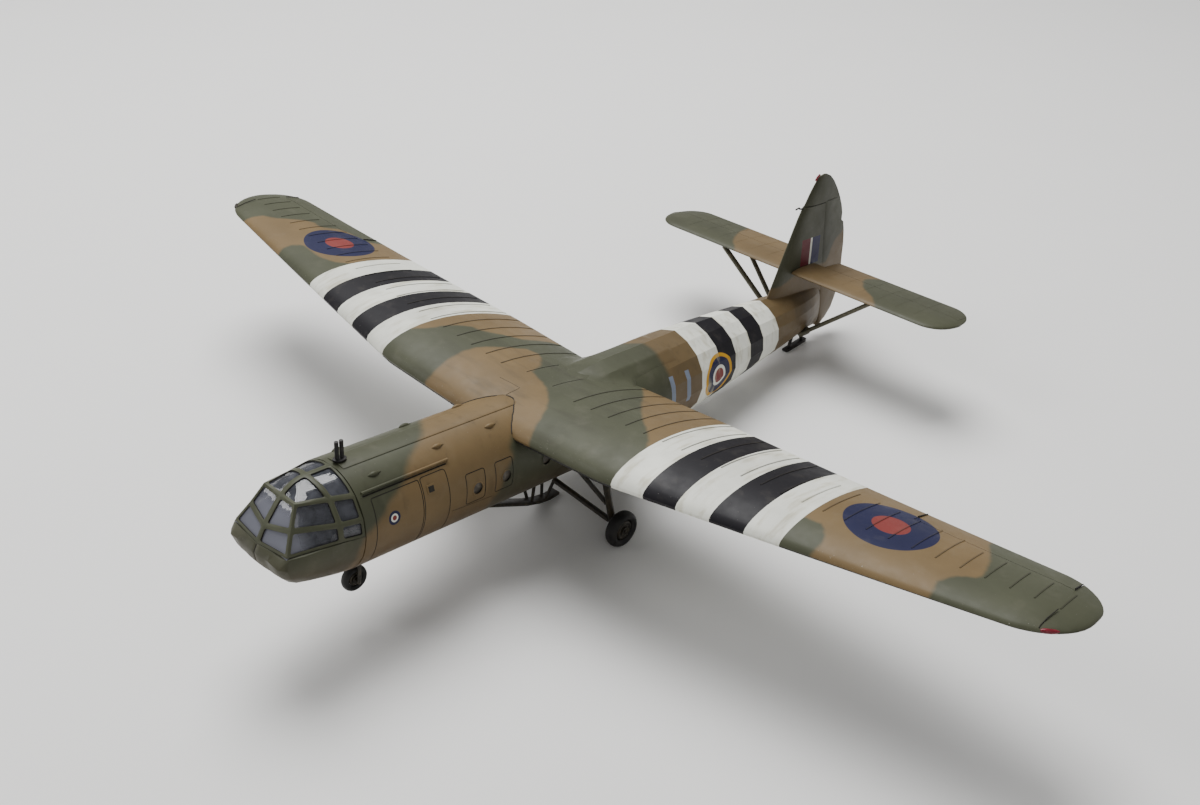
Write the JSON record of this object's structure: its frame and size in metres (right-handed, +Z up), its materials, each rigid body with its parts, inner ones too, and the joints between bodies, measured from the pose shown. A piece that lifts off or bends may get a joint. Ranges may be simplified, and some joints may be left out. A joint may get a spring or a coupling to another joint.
{
  "type": "model glider",
  "caption": "Plastic display model of a high wing troop-carrying assault glider in camouflage paint, standing on its wheels and tail skid, with wheels that turn.",
  "frame": {"origin": "on the ground, at the centre of the model's bounding box seen from above", "axes": "+X towards the port wing tip, +Y towards the tail, +Z up; the body stands 7.87 degrees nose up on its main wheels and tail skid"},
  "size_m": [0.3596, 0.2866, 0.0748],
  "materials": {
    "green": "dark green camouflage paint on styrene, satin to matt",
    "earth": "earth brown camouflage paint on styrene, satin to matt",
    "cockpit": "grey green interior paint on styrene",
    "black": "matt black paint on styrene",
    "tyre": "black paint on a moulded tyre",
    "clear": "thin clear styrene",
    "gear": "dark olive paint on styrene"
  },
  "bodies": {
    "airframe": {"body_left": "green", "body_right": "green", "nose_pan": "green", "canopy_frame": "green", "canopy_glass": "clear", "cockpit_floor": "cockpit", "cockpit_bulkhead": "cockpit", "instrument_panel": "black", "seat_left": "cockpit", "seat_right": "cockpit", "stick_left": "black", "stick_right": "black", "door_freight": "earth", "door_side": "earth", "door_starboard": "earth", "window_strip_left": "clear", "window_strip_right": "clear", "vent_mast": "black", "wing_centre": "green", "wing_left": "green", "wing_right": "green", "aileron_left": "green", "aileron_right": "green", "tailplane_left": "green", "tailplane_right": "green", "elevator_left": "green", "elevator_right": "green", "tail_strut_left": "green", "tail_strut_right": "green", "fin": "green", "rudder": "green", "main_leg_left": "gear", "main_leg_right": "gear", "radius_rod_left": "gear", "radius_rod_right": "gear", "side_strut_left": "gear", "side_strut_right": "gear", "nose_fork": "gear", "belly_skid": "gear", "tail_skid": "black"},
    "wheel_main_left": {"tyre_main_left": "tyre", "hub_main_left": "gear"},
    "wheel_main_right": {"tyre_main_right": "tyre", "hub_main_right": "gear"},
    "wheel_nose": {"tyre_nose": "tyre", "hub_nose": "gear"}
  },
  "joints": [
    {"name": "main_wheel_left_spin", "type": "hinge", "parent": "airframe", "child": "wheel_main_left", "pos_m": [0.0342, -0.03099, 0.0063], "axis": [1, 0, 0], "continuous": true},
    {"name": "main_wheel_right_spin", "type": "hinge", "parent": "airframe", "child": "wheel_main_right", "pos_m": [-0.0342, -0.03099, 0.0063], "axis": [1, 0, 0], "continuous": true},
    {"name": "nose_wheel_spin", "type": "hinge", "parent": "airframe", "child": "wheel_nose", "pos_m": [0, -0.11234, 0.01522], "axis": [1, 0, 0], "continuous": true}
  ]
}
